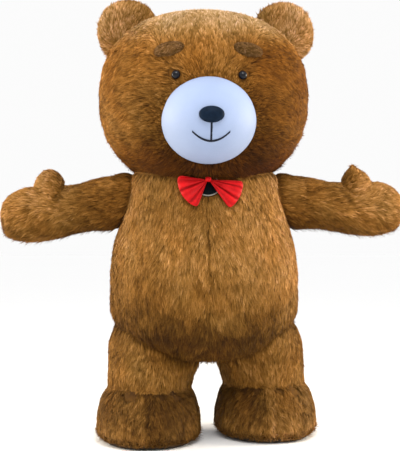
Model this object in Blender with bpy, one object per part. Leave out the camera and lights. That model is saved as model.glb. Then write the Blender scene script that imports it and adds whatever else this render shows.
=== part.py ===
"""Bear mascot costume: a full-body walking suit of long-pile plush, filled out as it is worn.

The suit is a set of thin walls. Every panel is cut from the wall of a closed form (trunk, head,
sleeve, thumb, leg, foot, ear, muzzle), and neighbours meet at seams with a small gap. Where one
form runs into another, it ends on the other's outside, and the other has a hole of its inside:
so the hollows run into each other at the neck, armholes, hips, ankles, thumbs and muzzle.

Axes: +Z up, the bear faces -Y, and its own right side is at -X. Heights in the tables are above
the soles; every piece hangs from one empty, so that the origin lies between the shoulders.
"""

from collections import namedtuple
from math import acos, atan2, copysign, cos, pi, sin

import bmesh
import bpy
import numpy as np
from mathutils import Vector
from mathutils.bvhtree import BVHTree

# ---------------------------------------------------------------- driving dimensions, in metres
SHOULDER_HEIGHT = 1.42  # where the wearer carries the suit, above the soles
PLUSH = 0.012  # backing cloth and combed pile
LYCRA = 0.008  # muzzle cloth over its foam skin
SATIN = 0.002
NET = 0.002
SEAM = 0.0003  # gap between neighbouring pieces
SOLE_HEIGHT = 0.022
# How a leg stands: its shift outward at the hip and at the foot, and how far the foot is forward
# (-) or back; and how far the paw of that side is lifted.
Stance = namedtuple("Stance", "hip foot forward paw")
STANCES = {"right": Stance(0.000, -0.010, -0.10, 0.000), "left": Stance(0.024, 0.034, 0.05, 0.050)}
SIDES = {"right": -1, "left": 1}

# ---------------------------------------------------------------- forms, by section
# A section across an upright form: half its width, and how far it reaches to the front and back.
Level = namedtuple("Level", "height width front back")
TRUNK = (
    Level(1.800, 0.000, 0.000, 0.000),
    Level(1.740, 0.240, 0.200, 0.200),
    Level(1.640, 0.385, 0.315, 0.330),
    Level(1.540, 0.437, 0.365, 0.385),
    Level(1.380, 0.470, 0.415, 0.420),
    Level(1.200, 0.524, 0.465, 0.440),
    Level(1.060, 0.554, 0.500, 0.455),
    Level(0.900, 0.563, 0.515, 0.470),
    Level(0.760, 0.549, 0.505, 0.475),
    Level(0.640, 0.500, 0.465, 0.450),
    Level(0.545, 0.405, 0.385, 0.380),
    Level(0.480, 0.262, 0.255, 0.260),
    Level(0.452, 0.000, 0.000, 0.000),
)
HEAD = (
    Level(2.528, 0.000, 0.000, 0.000),
    Level(2.502, 0.230, 0.200, 0.215),
    Level(2.425, 0.422, 0.345, 0.370),
    Level(2.290, 0.555, 0.445, 0.480),
    Level(2.140, 0.614, 0.500, 0.535),
    Level(1.980, 0.622, 0.520, 0.550),
    Level(1.840, 0.606, 0.512, 0.530),
    Level(1.710, 0.542, 0.475, 0.475),
    Level(1.600, 0.446, 0.440, 0.390),
    Level(1.520, 0.320, 0.368, 0.270),
    Level(1.478, 0.000, 0.000, 0.000),
)
# A foot is a rounded form that the floor cuts at height 0, where the sole is flat.
FOOT = (
    Level(0.362, 0.000, 0.000, 0.000),
    Level(0.350, 0.150, 0.150, 0.150),
    Level(0.308, 0.242, 0.258, 0.236),
    Level(0.228, 0.276, 0.325, 0.258),
    Level(0.145, 0.304, 0.386, 0.272),
    Level(0.070, 0.306, 0.402, 0.270),
    Level(0.012, 0.270, 0.374, 0.240),
    Level(-0.035, 0.180, 0.260, 0.160),
    Level(-0.048, 0.000, 0.000, 0.000),
)
# A sleeve is cut across its length: how far out, its middle's height, half its height and depth.
Cuff = namedtuple("Cuff", "out height tall deep")
SLEEVE = (
    Cuff(0.300, 1.404, 0.000, 0.000),
    Cuff(0.330, 1.404, 0.118, 0.110),
    Cuff(0.490, 1.397, 0.172, 0.150),
    Cuff(0.634, 1.375, 0.145, 0.140),
    Cuff(0.744, 1.353, 0.140, 0.136),
    Cuff(0.830, 1.337, 0.148, 0.136),
    Cuff(0.927, 1.325, 0.156, 0.137),
    Cuff(1.019, 1.316, 0.158, 0.134),
    Cuff(1.100, 1.312, 0.146, 0.122),
    Cuff(1.170, 1.306, 0.100, 0.086),
    Cuff(1.200, 1.306, 0.000, 0.000),
)
SLEEVE_ROOT = 0.49  # a lifted paw turns its sleeve up from here
SLEEVE_FORWARD = -0.02  # the sleeves' middle lies a little in front of the side seams
# A leg: height, how far out its middle stands, and half its width and depth.
Cut = namedtuple("Cut", "height out width depth")
LEG = (
    Cut(0.800, 0.270, 0.000, 0.000),
    Cut(0.780, 0.270, 0.180, 0.200),
    Cut(0.640, 0.286, 0.262, 0.285),
    Cut(0.500, 0.305, 0.266, 0.275),
    Cut(0.400, 0.322, 0.254, 0.258),
    Cut(0.290, 0.336, 0.243, 0.246),
    Cut(0.190, 0.340, 0.226, 0.226),
    Cut(0.150, 0.340, 0.130, 0.130),
    Cut(0.140, 0.340, 0.000, 0.000),
)
TRUNK_DRAW = 0.014  # share by which the trunk's four seams pull it in
HIP_HEIGHT = 0.62  # above this a leg is straight under the trunk, below it leans to its foot
ANKLE_HEIGHT = 0.34
FOOT_OUT = 0.340

# ---------------------------------------------------------------- the face and the trimmings
Pad = namedtuple("Pad", "out height width tall")  # centre, and half its width and height
MUZZLE = Pad(0.0, 1.846, 0.279, 0.258)
MUZZLE_MIDDLE = -0.375  # the muzzle's widest ring, inside the head
MUZZLE_REACH = 0.295  # from there to its foremost point
NOSE = Pad(0.0, 1.850, 0.071, 0.046)
NOSE_DEPTH = 0.030
EYE = Pad(0.185, 2.085, 0.026, 0.026)
EYE_DEPTH = 0.024
BROW = Pad(0.215, 2.235, 0.090, 0.042)
BROW_TILT = 0.16  # radians, the inner end higher
BROW_DEPTH = 0.045
EAR = Pad(0.468, 2.412, 0.182, 0.186)
EAR_DEPTH = 0.058  # half the ear's thickness
EAR_DISH = 0.034  # how far the middle of the ear's front is pressed in
EAR_SHIFT = 0.018  # the head is stuffed so that both ears sit this much to its left
EAR_BACK = 0.030  # the ear's middle lies behind the head's widest ring by this much
CROWN_HALF = 0.225  # half the width of the gusset over the crown
CROWN_BACK = 0.16  # the gusset ends here, behind the crown
CROWN_LOW = 1.95  # and here, behind the muzzle's upper edge
HEAD_SIDE = 0.02  # the head's side seams lie this far behind its middle
THUMB = Pad(0.908, 1.436, 0.098, 0.143)
THUMB_DEPTH = 0.094
THUMB_FORWARD = -0.056
WINDOW = Pad(0.0, 1.475, 0.066, 0.052)
BINDING = 0.007  # width of the tape round the window
MOUTH_DROP = 0.142  # from the nose's middle down to where the mouth line turns out
MOUTH_HALF = 0.104  # half the width of the smile
MOUTH_LIFT = 0.052  # how far its corners rise
MOUTH_LINE = 0.0055  # half the width of the line
MOUTH_RAISED = 0.0025
# A lobe of the bow is a fan whose point is at the knot, cut across its length: how far out and how
# far open it is, as shares of its own, and half its puff.
Fold = namedtuple("Fold", "out fan deep")
LOBE = (
    Fold(0.00, 0.00, 0.000),
    Fold(0.07, 0.85, 0.009),
    Fold(0.30, 0.97, 0.015),
    Fold(0.60, 1.00, 0.019),
    Fold(0.84, 1.00, 0.018),
    Fold(0.94, 0.97, 0.013),
    Fold(0.985, 0.88, 0.007),
    Fold(1.00, 0.00, 0.000),
)
# Each lobe's length, half the angle that it opens to and how far it hangs below level, in radians.
Fan = namedtuple("Fan", "reach spread droop")
FANS = {"right": Fan(0.172, 0.66, 0.53), "left": Fan(0.202, 0.46, 0.50)}
LOBE_PLEATS = 4
LOBE_PLEAT_DEPTH = 0.20  # share of the lobe's own depth
KNOT = Pad(0.0, 1.510, 0.025, 0.015)
KNOT_DEPTH = 0.025
BOW_CLEAR = 0.0006  # the knot is sewn to the tape behind it
KNOT_HALF = 0.016  # half the knot's length, where the lobes butt against it

# ---------------------------------------------------------------- how finely each form is cut
# Facets round a form and along it, outside and in the hollow.
Grid = namedtuple("Grid", "around along hollow_around hollow_along")
BIG = Grid(32, 17, 20, 10)
SLEEVE_GRID = Grid(18, 14, 14, 9)
LEG_GRID = Grid(20, 9, 14, 9)
FOOT_GRID = Grid(24, 11, 18, 11)
EAR_GRID = Grid(20, 10, 12, 6)
MUZZLE_GRID = Grid(28, 12, 20, 10)
THUMB_GRID = Grid(14, 8, 10, 6)
LOBE_GRID = Grid(16, 7, 16, 7)
KNOT_GRID = Grid(12, 8, 10, 6)
NOSE_GRID = Grid(18, 8, 0, 0)
EYE_GRID = Grid(12, 8, 0, 0)
BROW_GRID = Grid(14, 8, 0, 0)
FULLNESS = 0.92  # 1 gives sections that are ellipses, and less gives squarer ones
FAR = 3.0  # past every side of the suit


# ================================================================ closed forms
def smooth_profile(table):
    """A function from 0..1 to the row at that share of the smooth outline through the table."""
    rows = np.array(table)
    across = [1.0 if name in ("height", "out") else -1.0 for name in table[0]._fields]
    rows = np.vstack([rows[1] * across, rows, rows[-2] * across])
    knots = np.cumsum(np.append(0.0, np.linalg.norm(np.diff(rows, axis=0), axis=1) ** 0.5))
    slopes = (rows[2:] - rows[:-2]) / (knots[2:] - knots[:-2])[:, None]
    places = np.linspace(knots[1], knots[-2], 600)
    spans = np.clip(np.searchsorted(knots, places, side="right") - 1, 1, len(knots) - 3)
    width = (knots[spans + 1] - knots[spans])[:, None]
    share = ((places - knots[spans])[:, None]) / width
    curve = (
        (2 * share**3 - 3 * share**2 + 1) * rows[spans]
        + (share**3 - 2 * share**2 + share) * width * slopes[spans - 1]
        + (3 * share**2 - 2 * share**3) * rows[spans + 1]
        + (share**3 - share**2) * width * slopes[spans]
    )
    along = np.cumsum(np.append(0.0, np.linalg.norm(np.diff(curve, axis=0), axis=1)))
    row = type(table[0])

    def at(part):
        return row(*(float(np.interp(part * along[-1], along, column)) for column in curve.T))

    return at


def full(value):
    """A sine or cosine made a little squarer, for a section fuller than an ellipse."""
    return copysign(abs(value) ** FULLNESS, value)


def upright(table, out=0.0, forward=0.0, draw=0.0):
    """Places the surface of an upright form; draw pulls it in along its four seams."""
    at = smooth_profile(table)

    def place(part, turn):
        level = at(part)
        deep = level.back if sin(turn) > 0 else level.front
        waist = 1.0 - draw * abs(cos(2 * turn)) ** 24
        x = out + waist * level.width * full(cos(turn))
        return Vector((x, forward + waist * deep * full(sin(turn)), level.height))

    return place


def leg_surface(side):
    at, stance = smooth_profile(LEG), STANCES[side]

    def place(part, turn):
        cut = at(part)
        fall = min(max((HIP_HEIGHT - cut.height) / (HIP_HEIGHT - ANKLE_HEIGHT), 0.0), 1.0)
        fall = fall * fall * (3 - 2 * fall)
        out = cut.out + stance.hip + (stance.foot - stance.hip) * fall
        x = SIDES[side] * out + cut.width * cos(turn)
        return Vector((x, stance.forward * fall + cut.depth * sin(turn), cut.height))

    return place


def lifted(side, out, height):
    """A height on the sleeve's line once the paw of that side is lifted."""
    return height + STANCES[side].paw * max(out - SLEEVE_ROOT, 0.0) / (SLEEVE[-1].out - SLEEVE_ROOT)


def sleeve_surface(side):
    at = smooth_profile(SLEEVE)

    def place(part, turn):
        cuff = at(part)
        y = SLEEVE_FORWARD + cuff.deep * full(cos(turn))
        z = lifted(side, cuff.out, cuff.height) + cuff.tall * full(sin(turn))
        return Vector((SIDES[side] * cuff.out, y, z))

    return place


def pad_surface(pad, side, middle, depth, tilt=0.0, dish=0.0):
    """A rounded pad that faces -Y, its middle at Y = middle; dish presses its front in."""

    def place(part, turn):
        across = sin(pi * part) * cos(turn)
        up = sin(pi * part) * sin(turn)
        pressed = dish * (1 - across**2 - up**2) ** 2 if part > 0.5 else 0.0
        x = pad.width * across * cos(tilt) + pad.tall * up * sin(tilt)
        z = pad.tall * up * cos(tilt) - pad.width * across * sin(tilt)
        y = middle + depth * cos(pi * part) + pressed
        return Vector((side * (pad.out + x), y, pad.height + z))

    return place


def lobe_surface(side, trunk):
    """A fan of satin on the chest, whose pleats radiate from the knot."""
    at, fan, sign = smooth_profile(LOBE), FANS[side], SIDES[side]

    def place(part, turn):
        fold = at(part)
        pleat = 1 + LOBE_PLEAT_DEPTH * cos(LOBE_PLEATS * turn)
        fall = fan.droop - fan.spread * fold.fan * sin(turn)
        x = sign * fan.reach * fold.out * cos(fall)
        z = KNOT.height - fan.reach * fold.out * sin(fall)
        return Vector((x, bow_middle(trunk, x, z) + fold.deep * pleat * cos(turn), z))

    return place


def bow_middle(trunk, x, z):
    """The bow's own middle, in front of the chest at x and z."""
    return trunk.front_at(x, z) - KNOT_DEPTH - BOW_CLEAR


def knot_surface(middle):
    def place(part, turn):
        round_it = sin(pi * part)
        y = middle + KNOT_DEPTH * round_it * cos(turn)
        return Vector((KNOT.width * cos(pi * part), y, KNOT.height + KNOT.tall * round_it * sin(turn)))

    return place


def form_mesh(name, place, around, along, grow=0.0):
    """The closed mesh of a placed surface, moved out by grow."""
    shape = bmesh.new()
    bmesh.ops.create_uvsphere(shape, u_segments=around, v_segments=along, radius=1.0)
    for corner in shape.verts:
        x, y, z = corner.co
        corner.co = place(round(acos(min(max(z, -1.0), 1.0)) / pi * along) / along, atan2(y, x))
    bmesh.ops.triangulate(shape, faces=shape.faces, quad_method="FIXED")
    shape.normal_update()
    bmesh.ops.recalc_face_normals(shape, faces=shape.faces)
    shape.normal_update()
    moves = [corner.normal * grow for corner in shape.verts]
    for corner, move in zip(shape.verts, moves):
        corner.co += move
    mesh = bpy.data.meshes.new(name)
    shape.to_mesh(mesh)
    shape.free()
    mesh.shade_smooth()
    return mesh


# ================================================================ objects
def clear_scene():
    for thing in list(bpy.data.objects):
        bpy.data.objects.remove(thing, do_unlink=True)


def plain_material(name, colour, roughness, sheen=0.0):
    material = bpy.data.materials.new(name)
    material.use_nodes = True
    shader = material.node_tree.nodes["Principled BSDF"]
    shader.inputs["Base Color"].default_value = (*colour, 1.0)
    shader.inputs["Roughness"].default_value = roughness
    shader.inputs["Metallic"].default_value = 0.0
    shader.inputs["Sheen Weight"].default_value = sheen
    return material


def hang(name, mesh, suit):
    thing = bpy.data.objects.new(name, mesh)
    bpy.context.scene.collection.objects.link(thing)
    thing.parent = suit
    return thing


def cutter(name, mesh, suit):
    thing = hang(name, mesh, suit)
    thing.hide_render = True
    thing.display_type = "WIRE"
    return thing


def block(name, low, high, suit):
    """A box that cuts, from its low corner to its high one."""
    shape = bmesh.new()
    bmesh.ops.create_cube(shape, size=1.0)
    for corner in shape.verts:
        corner.co = [low[i] if corner.co[i] < 0 else high[i] for i in range(3)]
    mesh = bpy.data.meshes.new(name)
    shape.to_mesh(mesh)
    shape.free()
    return cutter(name, mesh, suit)


def piece(name, mesh, material, suit, within=(), without=()):
    """A piece of the suit: its form, kept within some cutters and without others."""
    thing = hang(name, mesh.copy(), suit)
    thing.data.materials.append(material)
    for operation, cutters in (("INTERSECT", within), ("DIFFERENCE", without)):
        for tool in cutters:
            boolean = thing.modifiers.new(tool.name, "BOOLEAN")
            boolean.operation = operation
            boolean.solver = "EXACT"
            boolean.object = tool
    return thing


class Form:
    """A closed form: its outside, its hollow, and its outside grown by a seam's gap."""

    def __init__(self, name, place, grid, wall, suit):
        outside = (grid.around, grid.along)
        self.mesh = form_mesh(name, place, *outside)
        corners = [corner.co for corner in self.mesh.vertices]
        self.tree = BVHTree.FromPolygons(corners, [face.vertices for face in self.mesh.polygons])
        self.grown = cutter(name + "_grown", form_mesh(name, place, *outside, grow=SEAM), suit)
        self.hollow = None
        if wall:
            inside = form_mesh(name, place, grid.hollow_around, grid.hollow_along, grow=-wall)
            self.hollow = cutter(name + "_hollow", inside, suit)

    def front_at(self, x, z):
        """The Y of the form's front where it is met from straight ahead."""
        return self.tree.ray_cast(Vector((x, -FAR, z)), Vector((0, 1, 0)))[0].y


# ================================================================ the suit, form by form
def half_spaces(suit):
    """The blocks that part the trunk's and head's panels, half a seam's gap off each line."""
    gap = SEAM / 2
    side = HEAD_SIDE
    crown = ((-CROWN_HALF, -FAR, CROWN_LOW), (CROWN_HALF, CROWN_BACK, FAR))
    return {
        "right": block("right_half", (-FAR, -FAR, -FAR), (-gap, FAR, FAR), suit),
        "left": block("left_half", (gap, -FAR, -FAR), (FAR, FAR, FAR), suit),
        "front": block("front_half", (-FAR, -FAR, -FAR), (FAR, -gap, FAR), suit),
        "back": block("back_half", (-FAR, gap, -FAR), (FAR, FAR, FAR), suit),
        "face": block("face_half", (-FAR, -FAR, -FAR), (FAR, side - gap, FAR), suit),
        "nape": block("nape_half", (-FAR, side + gap, -FAR), (FAR, FAR, FAR), suit),
        "crown": block("crown_strip", *crown, suit),
        "crown_grown": block(
            "crown_strip_grown", *([v + sign * SEAM for v in end] for sign, end in zip((-1, 1), crown)), suit
        ),
    }


def oval_post(name, pad, grow, low, high, suit):
    """An oval post along Y, to cut or keep an oval patch of a front."""
    shape = bmesh.new()
    bmesh.ops.create_cone(
        shape, cap_ends=True, segments=24, radius1=1.0, radius2=1.0, depth=1.0
    )
    for corner in shape.verts:
        x, y, z = corner.co
        deep = low if z < 0 else high
        corner.co = (pad.out + (pad.width + grow) * x, deep, pad.height + (pad.tall + grow) * y)
    shape.normal_update()
    bmesh.ops.recalc_face_normals(shape, faces=shape.faces)
    mesh = bpy.data.meshes.new(name)
    shape.to_mesh(mesh)
    shape.free()
    return cutter(name, mesh, suit)


def make_trunk(trunk, head, sleeves, legs, blocks, paint, suit):
    """Four panels, with the window's hole over the front seam."""
    hole = oval_post("window_hole", WINDOW, BINDING + SEAM, -FAR, 0.0, suit)
    holes = [trunk.hollow, head.grown]
    for side in SIDES:
        limbs = [sleeves[side].hollow, legs[side].hollow]
        for face, more in (("front", [hole]), ("back", [])):
            kept = [blocks[side], blocks[face]]
            piece(f"body_{face}_{side}", trunk.mesh, paint["plush"], suit, kept, holes + limbs + more)


def make_window(trunk, head, paint, suit):
    """Black net that the wearer sees through, held by a pale tape."""
    place = upright(TRUNK, draw=TRUNK_DRAW)
    inner = form_mesh("net_back", place, BIG.around, BIG.along, grow=-NET)
    net_back = cutter("net_back", inner, suit)
    tape_back = cutter("tape_back", form_mesh("tape_back", place, BIG.around, BIG.along, grow=-PLUSH), suit)
    window = oval_post("window_oval", WINDOW, 0.0, -FAR, 0.0, suit)
    tape = oval_post("tape_oval", WINDOW, BINDING, -FAR, 0.0, suit)
    opening = oval_post("tape_opening", WINDOW, SEAM, -FAR, 0.0, suit)
    piece("neck_window", trunk.mesh, paint["net"], suit, [window], [net_back, head.grown])
    piece("window_binding", trunk.mesh, paint["tape"], suit, [tape], [tape_back, opening, head.grown])


def make_head(head, trunk, muzzle, blocks, paint, suit):
    """Two cheeks, a gusset over the crown and two backs."""
    holes = [head.hollow, trunk.hollow]
    face = holes + [muzzle.hollow, blocks["crown_grown"]]
    for side in SIDES:
        piece(f"head_cheek_{side}", head.mesh, paint["plush"], suit, [blocks[side], blocks["face"]], face)
        rear = holes + [blocks["crown_grown"]]
        piece(f"head_back_{side}", head.mesh, paint["plush"], suit, [blocks[side], blocks["nape"]], rear)
    over = [head.hollow, muzzle.hollow]
    piece("head_crown", head.mesh, paint["plush"], suit, [blocks["crown"]], over)


def make_face(head, muzzle, paint, suit):
    """Muzzle, nose, mouth line, eyes and brow pads, each seated on what it is sewn to."""
    piece("muzzle", muzzle.mesh, paint["lycra"], suit, [], [muzzle.hollow, head.grown])
    tip = muzzle.front_at(NOSE.out, NOSE.height)
    nose = Form("nose", pad_surface(NOSE, 1, tip, NOSE_DEPTH), NOSE_GRID, 0.0, suit)
    piece("nose", nose.mesh, paint["nose"], suit, [], [muzzle.grown])
    raised = form_mesh("muzzle_raised", muzzle_surface(), MUZZLE_GRID.around, MUZZLE_GRID.along, MOUTH_RAISED)
    kept = [cutter("muzzle_raised", raised, suit)]
    piece("mouth_line", mouth_ribbon(tip), paint["thread"], suit, kept, [muzzle.grown, nose.grown])
    for side, sign in SIDES.items():
        front = head.front_at(sign * EYE.out, EYE.height)
        eye = form_mesh("eye", pad_surface(EYE, sign, front, EYE_DEPTH), EYE_GRID.around, EYE_GRID.along)
        piece(f"eye_{side}", eye, paint["eye"], suit, [], [head.grown])
        front = head.front_at(sign * BROW.out, BROW.height)
        place = pad_surface(BROW, sign, front, BROW_DEPTH, tilt=BROW_TILT)
        brow = form_mesh("brow", place, BROW_GRID.around, BROW_GRID.along)
        piece(f"brow_{side}", brow, paint["plush"], suit, [], [head.grown])


def mouth_ribbon(tip):
    """The mouth's outline run back through the muzzle's front: a drop line and a smile."""
    low = NOSE.height - MOUTH_DROP
    shares = np.linspace(-1.0, 1.0, 13)
    upper = [(s * MOUTH_HALF, low + MOUTH_LIFT * s * s + MOUTH_LINE) for s in shares if abs(s) > 0.1]
    lower = [(s * MOUTH_HALF, low + MOUTH_LIFT * s * s - MOUTH_LINE) for s in shares]
    stem = [(-MOUTH_LINE, low + MOUTH_LINE), (-MOUTH_LINE, NOSE.height)]
    stem += [(MOUTH_LINE, NOSE.height), (MOUTH_LINE, low + MOUTH_LINE)]
    half = len(upper) // 2
    outline = upper[:half] + stem + upper[half:] + lower[::-1]
    shape = bmesh.new()
    ahead, behind = tip - NOSE_DEPTH, tip + MUZZLE_REACH / 2
    face = shape.faces.new([shape.verts.new((x, ahead, z)) for x, z in outline])
    run = bmesh.ops.extrude_face_region(shape, geom=[face])
    moved = [part for part in run["geom"] if isinstance(part, bmesh.types.BMVert)]
    bmesh.ops.translate(shape, verts=moved, vec=(0.0, behind - ahead, 0.0))
    shape.normal_update()
    bmesh.ops.recalc_face_normals(shape, faces=shape.faces)
    mesh = bpy.data.meshes.new("mouth_line")
    shape.to_mesh(mesh)
    shape.free()
    return mesh


def muzzle_surface():
    return pad_surface(MUZZLE, 1, MUZZLE_MIDDLE, MUZZLE_REACH)


def make_ears(head, paint, suit):
    """Each ear is a dished front and a rounded back, sewn at the rim."""
    front = block("ear_front_half", (-FAR, -FAR, -FAR), (FAR, EAR_BACK - SEAM / 2, FAR), suit)
    back = block("ear_back_half", (-FAR, EAR_BACK + SEAM / 2, -FAR), (FAR, FAR, FAR), suit)
    for side, sign in SIDES.items():
        pad = EAR._replace(out=EAR.out + sign * EAR_SHIFT)
        place = pad_surface(pad, sign, EAR_BACK, EAR_DEPTH, dish=EAR_DISH)
        ear = Form(f"ear_{side}", place, EAR_GRID, PLUSH, suit)
        for face, half in (("front", front), ("back", back)):
            piece(f"ear_{face}_{side}", ear.mesh, paint["plush"], suit, [half], [ear.hollow, head.grown])


def make_arms(sleeves, trunk, paint, suit):
    """Each arm is a front and a back with the paw cut in one, and a thumb let in at the top."""
    seam = SLEEVE_FORWARD
    front = block("sleeve_front_half", (-FAR, -FAR, -FAR), (FAR, seam - SEAM / 2, FAR), suit)
    back = block("sleeve_back_half", (-FAR, seam + SEAM / 2, -FAR), (FAR, FAR, FAR), suit)
    for side, sign in SIDES.items():
        sleeve = sleeves[side]
        pad = THUMB._replace(height=lifted(side, THUMB.out, THUMB.height))
        place = pad_surface(pad, sign, THUMB_FORWARD, THUMB_DEPTH)
        thumb = Form(f"thumb_{side}", place, THUMB_GRID, PLUSH, suit)
        without = [sleeve.hollow, trunk.grown, thumb.hollow]
        for face, half in (("front", front), ("back", back)):
            piece(f"arm_{face}_{side}", sleeve.mesh, paint["plush"], suit, [half], without)
        piece(f"thumb_{side}", thumb.mesh, paint["plush"], suit, [], [thumb.hollow, sleeve.grown])


def make_legs(legs, trunk, feet, paint, suit):
    """Each leg is a front and a back, from under the trunk to the foot."""
    for side in SIDES:
        leg, seam = legs[side], STANCES[side].forward / 2
        low, high = (-FAR, -FAR, -FAR), (FAR, FAR, FAR)
        front = block(f"leg_front_half_{side}", low, (FAR, seam - SEAM / 2, FAR), suit)
        back = block(f"leg_back_half_{side}", (-FAR, seam + SEAM / 2, -FAR), high, suit)
        for face, half in (("front", front), ("back", back)):
            without = [leg.hollow, trunk.grown, feet[side].grown]
            piece(f"leg_{face}_{side}", leg.mesh, paint["plush"], suit, [half], without)


def make_feet(feet, legs, paint, suit):
    """Each foot is an outer and an inner half over a flat sole."""
    sole = block("sole_slab", (-FAR, -FAR, 0.0), (FAR, FAR, SOLE_HEIGHT), suit)
    for side, sign in SIDES.items():
        foot, middle = feet[side], sign * (FOOT_OUT + STANCES[side].foot)
        above = SOLE_HEIGHT + SEAM
        right = block(f"foot_right_{side}", (-FAR, -FAR, above), (middle - SEAM / 2, FAR, FAR), suit)
        left = block(f"foot_left_{side}", (middle + SEAM / 2, -FAR, above), (FAR, FAR, FAR), suit)
        outer, inner = (left, right) if sign > 0 else (right, left)
        for half, name in ((outer, "outer"), (inner, "inner")):
            without = [foot.hollow, legs[side].hollow]
            piece(f"foot_{name}_{side}", foot.mesh, paint["foot"], suit, [half], without)
        piece(f"sole_{side}", foot.mesh, paint["sole"], suit, [sole])


def make_bow(trunk, paint, suit):
    """A knot tied before the window, and a pleated lobe that hangs out from each end of it."""
    middle = bow_middle(trunk, 0.0, KNOT.height)
    for side, sign in SIDES.items():
        lobe = Form(f"lobe_{side}", lobe_surface(side, trunk), LOBE_GRID, SATIN, suit)
        ends = sorted((sign * (KNOT_HALF + SEAM), sign * FAR))
        beyond = block(f"beyond_knot_{side}", (ends[0], -FAR, -FAR), (ends[1], FAR, FAR), suit)
        piece(f"bow_{side}", lobe.mesh, paint["satin"], suit, [beyond], [lobe.hollow])
    knot = Form("knot", knot_surface(middle), KNOT_GRID, SATIN, suit)
    length = block("knot_length", (-KNOT_HALF, -FAR, -FAR), (KNOT_HALF, FAR, FAR), suit)
    piece("bow_knot", knot.mesh, paint["satin"], suit, [length], [knot.hollow])


def make_materials():
    return {
        "plush": plain_material("brown_plush", (0.33, 0.145, 0.037), 0.9, 0.4),
        "foot": plain_material("foot_plush", (0.16, 0.065, 0.014), 0.9, 0.4),
        "sole": plain_material("sole_foam", (0.05, 0.03, 0.02), 0.85),
        "lycra": plain_material("muzzle_cloth", (0.56, 0.68, 0.90), 0.6, 0.2),
        "nose": plain_material("nose_vinyl", (0.010, 0.012, 0.018), 0.35),
        "thread": plain_material("mouth_thread", (0.012, 0.012, 0.014), 0.7),
        "eye": plain_material("eye_plastic", (0.006, 0.006, 0.007), 0.12),
        "net": plain_material("window_net", (0.008, 0.009, 0.009), 0.8),
        "tape": plain_material("binding_tape", (0.62, 0.56, 0.42), 0.8),
        "satin": plain_material("red_satin", (0.62, 0.016, 0.020), 0.35, 0.3),
    }


def main():
    clear_scene()
    suit = bpy.data.objects.new("suit", None)
    bpy.context.scene.collection.objects.link(suit)
    suit.location.z = -SHOULDER_HEIGHT
    paint = make_materials()
    blocks = half_spaces(suit)
    trunk = Form("trunk", upright(TRUNK, draw=TRUNK_DRAW), BIG, PLUSH, suit)
    head = Form("head", upright(HEAD), BIG, PLUSH, suit)
    muzzle = Form("muzzle", muzzle_surface(), MUZZLE_GRID, LYCRA, suit)
    sleeves, legs, feet = {}, {}, {}
    for side, sign in SIDES.items():
        sleeves[side] = Form(f"sleeve_{side}", sleeve_surface(side), SLEEVE_GRID, PLUSH, suit)
        legs[side] = Form(f"leg_{side}", leg_surface(side), LEG_GRID, PLUSH, suit)
        stance = STANCES[side]
        foot = upright(FOOT, out=sign * (FOOT_OUT + stance.foot), forward=stance.forward)
        feet[side] = Form(f"foot_{side}", foot, FOOT_GRID, PLUSH, suit)
    make_trunk(trunk, head, sleeves, legs, blocks, paint, suit)
    make_window(trunk, head, paint, suit)
    make_head(head, trunk, muzzle, blocks, paint, suit)
    make_face(head, muzzle, paint, suit)
    make_ears(head, paint, suit)
    make_arms(sleeves, trunk, paint, suit)
    make_legs(legs, trunk, feet, paint, suit)
    make_feet(feet, legs, paint, suit)
    make_bow(trunk, paint, suit)


main()
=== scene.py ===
"""Looks of the bear mascot costume: pile, muzzle, bow and trimmings, built around its packed frame.

Each plush panel becomes a backing cloth with a few soft creases and a pile of combed locks that
stands on it. The bow's lobes are made new, and the other pieces are finer makes of the frame's own
solids. Metres, +Z up; the bear faces -Y, and its own right side is at -X.
"""

from collections import namedtuple
from math import acos, atan2, copysign, cos, exp, pi, radians, sin, sqrt

import bmesh
import bpy
import numpy as np
from bpy.props import FloatProperty, FloatVectorProperty, IntProperty, PointerProperty
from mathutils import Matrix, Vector
from mathutils.bvhtree import BVHTree
from mathutils.kdtree import KDTree


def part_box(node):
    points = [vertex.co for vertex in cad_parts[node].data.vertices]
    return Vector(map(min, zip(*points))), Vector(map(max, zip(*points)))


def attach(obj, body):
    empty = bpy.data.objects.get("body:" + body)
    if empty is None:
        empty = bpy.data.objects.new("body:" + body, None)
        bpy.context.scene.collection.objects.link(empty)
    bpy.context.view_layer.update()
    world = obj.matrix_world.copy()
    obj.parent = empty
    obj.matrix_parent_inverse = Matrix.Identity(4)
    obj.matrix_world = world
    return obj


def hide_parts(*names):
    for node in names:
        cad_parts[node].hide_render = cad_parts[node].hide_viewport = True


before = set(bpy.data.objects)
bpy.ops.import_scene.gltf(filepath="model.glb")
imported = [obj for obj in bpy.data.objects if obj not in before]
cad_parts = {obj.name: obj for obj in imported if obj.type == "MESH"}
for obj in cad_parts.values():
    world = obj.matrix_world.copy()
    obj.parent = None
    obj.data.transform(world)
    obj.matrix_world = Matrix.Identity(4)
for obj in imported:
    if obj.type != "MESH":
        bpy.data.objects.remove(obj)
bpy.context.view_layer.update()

bl_info = {
    "name": "Bear Mascot Costume",
    "version": (1, 0, 0),
    "blender": (4, 5, 0),
    "location": "3D View > Sidebar > Bear",
    "description": "Pile, muzzle, bow and trimmings of a plush bear costume",
    "category": "Object",
}

SIDES = {"right": -1, "left": 1}
FLOOR = -1.42  # the soles' height in the frame
MERGE = 1e-5  # a CAD node's loose triangles are joined within this
SHOWN = 0.35  # a face that points outwards by more than this is on the outer side
SKIN_EDGE = 0.055  # longest edge of the skin that the locks lie on
CLOTH_EDGE = 0.075  # longest edge of the backing cloth
CREASE_SHARE = 22  # how fast the pile gets shorter, and darker with painted shade, in a crease, to a metre of depth
CREASE_FULL = 0.020  # no more than at this depth
SEAM_REACH = 0.0012  # neighbouring panels' edges are joined within this in a skin


# ================================================================ settings
def number(name, description, default, **more):
    return FloatProperty(name=name, description=description, default=default, **more)


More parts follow.
